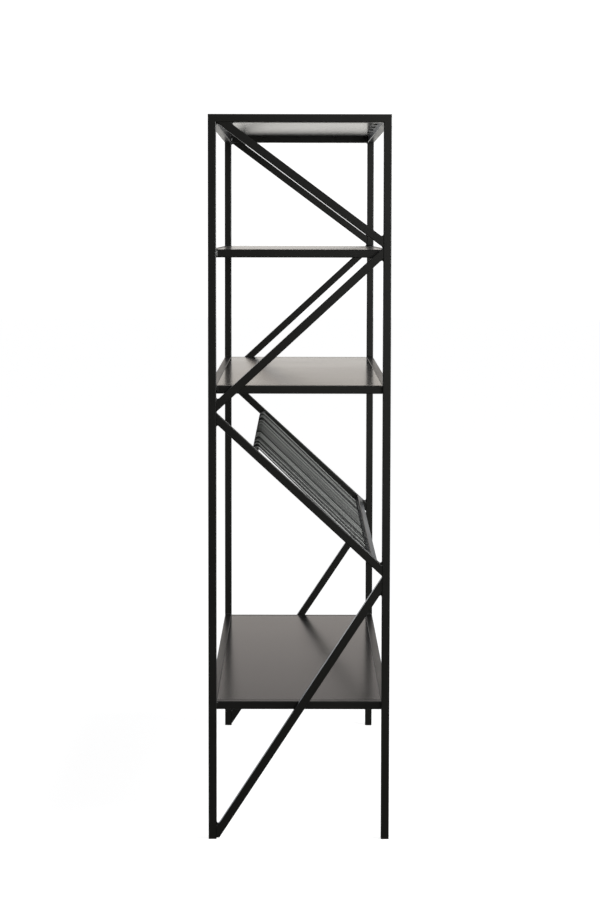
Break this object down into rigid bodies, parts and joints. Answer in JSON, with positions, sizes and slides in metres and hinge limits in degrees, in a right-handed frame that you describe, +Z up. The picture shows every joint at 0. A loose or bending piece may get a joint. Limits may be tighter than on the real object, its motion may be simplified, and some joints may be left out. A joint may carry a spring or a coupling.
{
  "type": "bookcase",
  "caption": "Tall open steel bookcase with zigzag braced end frames, flush lift-out shelf panels and a sloping magazine rack of thin rods.",
  "frame": {"origin": "on the floor, under the middle of the bookcase", "axes": "+Z up, X along the shelves, -Y the front, where the magazine rack is lowest"},
  "size_m": [1.2, 0.45, 1.8],
  "materials": {
    "frame_coat": "semi-gloss black powder coat",
    "panel_coat": "satin black powder coat on sheet steel",
    "rod_coat": "satin dark grey to black coat on thin steel rod, uneven from rod to rod",
    "glide_plastic": "moulded black plastic"
  },
  "bodies": {
    "frame": {"left_front_post": "frame_coat", "left_back_post": "frame_coat", "left_top_rail": "frame_coat", "left_brace_1": "frame_coat", "left_brace_2": "frame_coat", "left_brace_3": "frame_coat", "left_brace_4": "frame_coat", "left_front_glide": "glide_plastic", "left_back_glide": "glide_plastic", "right_front_post": "frame_coat", "right_back_post": "frame_coat", "right_top_rail": "frame_coat", "right_brace_1": "frame_coat", "right_brace_2": "frame_coat", "right_brace_3": "frame_coat", "right_brace_4": "frame_coat", "right_front_glide": "glide_plastic", "right_back_glide": "glide_plastic", "top_shelf_front_rail": "frame_coat", "top_shelf_back_rail": "frame_coat", "top_shelf_left_rail": "frame_coat", "top_shelf_right_rail": "frame_coat", "top_shelf_tabs": "frame_coat", "upper_shelf_front_rail": "frame_coat", "upper_shelf_back_rail": "frame_coat", "upper_shelf_left_rail": "frame_coat", "upper_shelf_right_rail": "frame_coat", "upper_shelf_tabs": "frame_coat", "middle_shelf_front_rail": "frame_coat", "middle_shelf_back_rail": "frame_coat", "middle_shelf_left_rail": "frame_coat", "middle_shelf_right_rail": "frame_coat", "middle_shelf_tabs": "frame_coat", "lower_shelf_front_rail": "frame_coat", "lower_shelf_back_rail": "frame_coat", "lower_shelf_left_rail": "frame_coat", "lower_shelf_right_rail": "frame_coat", "lower_shelf_tabs": "frame_coat", "rack_upper_bar": "frame_coat", "rack_lower_rail": "frame_coat", "rack_rods": "rod_coat"},
    "top_panel": {"top_shelf_panel": "panel_coat"},
    "upper_panel": {"upper_shelf_panel": "panel_coat"},
    "middle_panel": {"middle_shelf_panel": "panel_coat"},
    "lower_panel": {"lower_shelf_panel": "panel_coat"}
  },
  "joints": [
    {"name": "top_panel_lift", "type": "slide", "parent": "frame", "child": "top_panel", "axis": [0, 0, 1], "range_m": [0, 0.25]},
    {"name": "upper_panel_lift", "type": "slide", "parent": "frame", "child": "upper_panel", "axis": [0, 0, 1], "range_m": [0, 0.25]},
    {"name": "middle_panel_lift", "type": "slide", "parent": "frame", "child": "middle_panel", "axis": [0, 0, 1], "range_m": [0, 0.25]},
    {"name": "lower_panel_lift", "type": "slide", "parent": "frame", "child": "lower_panel", "axis": [0, 0, 1], "range_m": [0, 0.25]}
  ]
}
